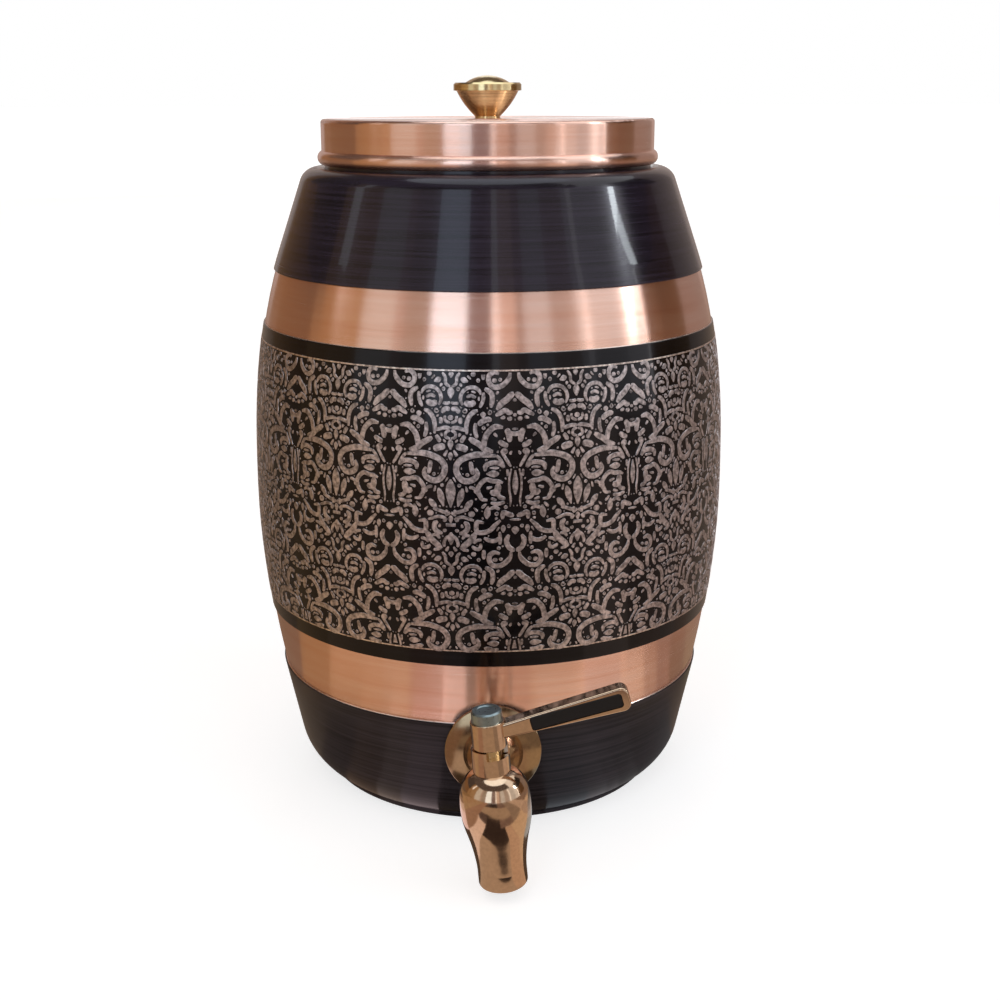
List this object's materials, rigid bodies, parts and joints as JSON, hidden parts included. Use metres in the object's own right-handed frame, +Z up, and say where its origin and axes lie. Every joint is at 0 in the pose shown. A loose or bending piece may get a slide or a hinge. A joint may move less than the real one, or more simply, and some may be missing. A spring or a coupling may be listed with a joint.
{
  "type": "copper water dispenser",
  "caption": "Barrel-shaped copper water dispenser with a lift-off lid, an etched belly band and a quarter-turn lever tap low on the front.",
  "frame": {"origin": "on the barrel's axis, in the plane of the table that the foot ring stands on", "axes": "+Z up the barrel's axis, -Y out of the tap, +X to the right seen from the tap's side"},
  "size_m": [0.2042, 0.2516, 0.3028],
  "materials": {
    "brushed_copper": "brushed copper, clear lacquered",
    "plain_copper": "bare copper sheet, spun",
    "etched_black": "black glossy sheet with an etched silver-pink scroll pattern",
    "black_lacquer": "dark brown-black gloss lacquer over brushed copper",
    "polished_brass": "polished yellow brass",
    "plain_brass": "turned brass",
    "rose_plating": "rose-gold mirror plating over cast brass",
    "black_grip": "black moulded grip",
    "grey_cap": "grey satin chrome button",
    "steel_fixing": "stainless steel",
    "black_rubber": "moulded black rubber",
    "white_seal": "white sealing plastic"
  },
  "bodies": {
    "vessel": {"drum_shell": "brushed_copper", "etched_sleeve": "etched_black", "shoulder_shell": "black_lacquer", "neck_ring": "black_lacquer", "base_shell": "black_lacquer", "foot_ring": "black_lacquer", "tank_floor": "plain_copper", "wall_gasket": "black_rubber", "inner_washer": "black_rubber", "tap_body": "rose_plating", "tap_flange": "rose_plating", "plate_washer": "steel_fixing", "shank_nut": "plain_brass", "port_seal": "white_seal", "thrust_washer": "white_seal"},
    "lid": {"lid_cap": "brushed_copper", "lid_knob": "polished_brass", "knob_screw": "steel_fixing", "knob_washer": "steel_fixing"},
    "tap_lever": {"valve_plug": "plain_brass", "stem_rings": "black_rubber", "lever": "rose_plating", "lever_grip": "black_grip", "hub_cap": "grey_cap", "lever_screw": "steel_fixing", "stop_pin": "steel_fixing"}
  },
  "joints": [
    {"name": "lid_lift", "type": "slide", "parent": "vessel", "child": "lid", "axis": [0, 0, 1], "range_m": [0, 0.06]},
    {"name": "tap_turn", "type": "hinge", "parent": "vessel", "child": "tap_lever", "pos_m": [0, -0.13601, 0.041], "axis": [0.0906, 0, -0.9959], "range_deg": [0, 90]}
  ]
}
